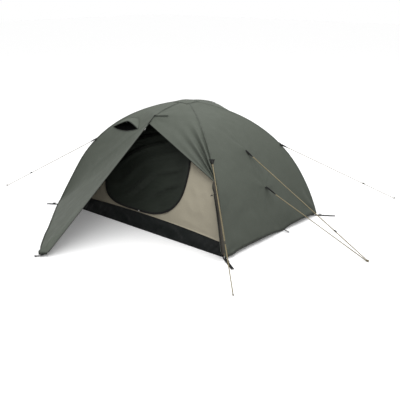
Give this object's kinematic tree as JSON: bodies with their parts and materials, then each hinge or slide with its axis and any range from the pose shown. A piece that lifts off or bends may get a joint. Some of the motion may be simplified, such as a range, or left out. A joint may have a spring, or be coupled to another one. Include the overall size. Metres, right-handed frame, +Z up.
{
  "type": "dome tent",
  "caption": "Low two-person double-wall dome tent with crossed poles, short ridge pole, one door half rolled back, bathtub floor and guy lines.",
  "frame": {"origin": "on the ground under the middle of the floor", "axes": "+Z up, doorway towards -Y, length of the floor along X"},
  "size_m": [3.9936, 3.3604, 1.2547],
  "materials": {
    "fly_cloth": "coated grey-green polyester taffeta, satin",
    "inner_cloth": "thin beige breathable polyester",
    "dark_mesh": "fine dark mosquito mesh",
    "groundsheet": "black coated bathtub cloth, slightly shiny",
    "pole_tube": "bronze-grey anodised tube",
    "bare_metal": "bright metal",
    "shock_cord": "white elastic cord",
    "black_plastic": "moulded black nylon",
    "black_webbing": "black woven webbing",
    "guy_line": "cream-yellow braided cord",
    "zip_pull": "cord and moulded pull"
  },
  "bodies": {
    "tent": {"pole_a_section_1": "pole_tube", "pole_a_section_2": "pole_tube", "pole_a_section_3": "pole_tube", "pole_a_section_4": "pole_tube", "pole_a_section_5": "pole_tube", "pole_a_section_6": "pole_tube", "pole_a_section_7": "pole_tube", "pole_a_section_8": "pole_tube", "pole_b_section_1": "pole_tube", "pole_b_section_2": "pole_tube", "pole_b_section_3": "pole_tube", "pole_b_section_4": "pole_tube", "pole_b_section_5": "pole_tube", "pole_b_section_6": "pole_tube", "pole_b_section_7": "pole_tube", "pole_b_section_8": "pole_tube", "ridge_pole_front": "pole_tube", "ridge_pole_rear": "pole_tube", "pole_ferrules": "bare_metal", "shock_cords": "shock_cord", "pole_tips": "bare_metal", "crown_hub": "black_plastic", "inner_clips": "black_plastic", "corner_straps": "black_webbing", "corner_eyelets": "bare_metal", "corner_buckles": "black_plastic", "fly_right_panel": "fly_cloth", "fly_left_panel": "fly_cloth", "fly_rear_panel": "fly_cloth", "fly_front_right_canopy": "fly_cloth", "fly_front_left_canopy": "fly_cloth", "fly_crown_patch": "fly_cloth", "rolled_door": "fly_cloth", "tieback_loop": "black_webbing", "vent_mesh": "dark_mesh", "vent_hood": "fly_cloth", "inner_right_wall": "inner_cloth", "inner_left_wall": "inner_cloth", "inner_rear_wall": "inner_cloth", "inner_front_wall": "inner_cloth", "tub_floor": "groundsheet", "tub_wall": "groundsheet", "guy_tabs": "black_webbing", "guy_lines": "guy_line", "hem_loops": "black_webbing", "ground_pegs": "bare_metal"},
    "vestibule_flap": {"vestibule_flap": "fly_cloth", "fly_zip_tape": "black_webbing", "flap_peg_loop": "black_webbing"},
    "fly_zip_slider": {"fly_zip_slider": "bare_metal"},
    "fly_zip_pull": {"fly_zip_pull": "zip_pull"},
    "vent_strut": {"vent_strut": "black_plastic"},
    "inner_door": {"inner_door": "dark_mesh"},
    "inner_zip_slider": {"inner_zip_slider": "bare_metal"},
    "tieback_toggle": {"tieback_toggle": "black_plastic"},
    "runner_front_left": {"runner_front_left": "black_plastic"},
    "runner_front_right": {"runner_front_right": "black_plastic"},
    "runner_rear_right": {"runner_rear_right": "black_plastic"},
    "runner_rear_left": {"runner_rear_left": "black_plastic"},
    "runner_side": {"runner_side": "black_plastic"}
  },
  "joints": [
    {"name": "vestibule_flap_swing", "type": "hinge", "parent": "tent", "child": "vestibule_flap", "pos_m": [0, -0.423, 1.00737], "axis": [-0.7367, -0.2101, -0.6428], "range_deg": [-12, 95]},
    {"name": "fly_zip_slide", "type": "slide", "parent": "vestibule_flap", "child": "fly_zip_slider", "axis": [-0.0685, -0.7675, -0.6373], "range_m": [-0.03, 1.34]},
    {"name": "fly_zip_pull_flip", "type": "hinge", "parent": "fly_zip_slider", "child": "fly_zip_pull", "pos_m": [-0.00952, -0.54621, 0.90887], "axis": [0.8859, -0.3406, 0.315], "range_deg": [-150, 0]},
    {"name": "vent_strut_fold", "type": "hinge", "parent": "tent", "child": "vent_strut", "pos_m": [-0.39785, -0.41446, 0.89751], "axis": [-0.988, 0.1234, -0.093], "range_deg": [0, 70]},
    {"name": "inner_door_swing", "type": "hinge", "parent": "tent", "child": "inner_door", "pos_m": [-0.496, -0.54087, 0.52], "axis": [0, 0.3774, 0.926], "range_deg": [-5, 45]},
    {"name": "inner_zip_slide", "type": "slide", "parent": "tent", "child": "inner_zip_slider", "axis": [1, 0, 0], "range_m": [-0.12, 0.12]},
    {"name": "tieback_toggle_turn", "type": "hinge", "parent": "tent", "child": "tieback_toggle", "pos_m": [0.839, -0.63445, 0.49389], "axis": [-0.5547, -0.8321, 0], "range_deg": [-90, 90]},
    {"name": "runner_front_left_slide", "type": "slide", "parent": "tent", "child": "runner_front_left", "axis": [0.8728, 0.1499, 0.4646], "range_m": [-0.3, 0.4]},
    {"name": "runner_front_right_slide", "type": "slide", "parent": "tent", "child": "runner_front_right", "axis": [-0.6105, 0.5345, 0.5844], "range_m": [-0.3, 0.4]},
    {"name": "runner_rear_right_slide", "type": "slide", "parent": "tent", "child": "runner_rear_right", "axis": [-0.4364, -0.7755, 0.4563], "range_m": [-0.3, 0.4]},
    {"name": "runner_rear_left_slide", "type": "slide", "parent": "tent", "child": "runner_rear_left", "axis": [0.4364, -0.7755, 0.4563], "range_m": [-0.3, 0.4]},
    {"name": "runner_side_slide", "type": "slide", "parent": "tent", "child": "runner_side", "axis": [-0.8632, -0.0209, 0.5044], "range_m": [-0.25, 0.4]}
  ]
}
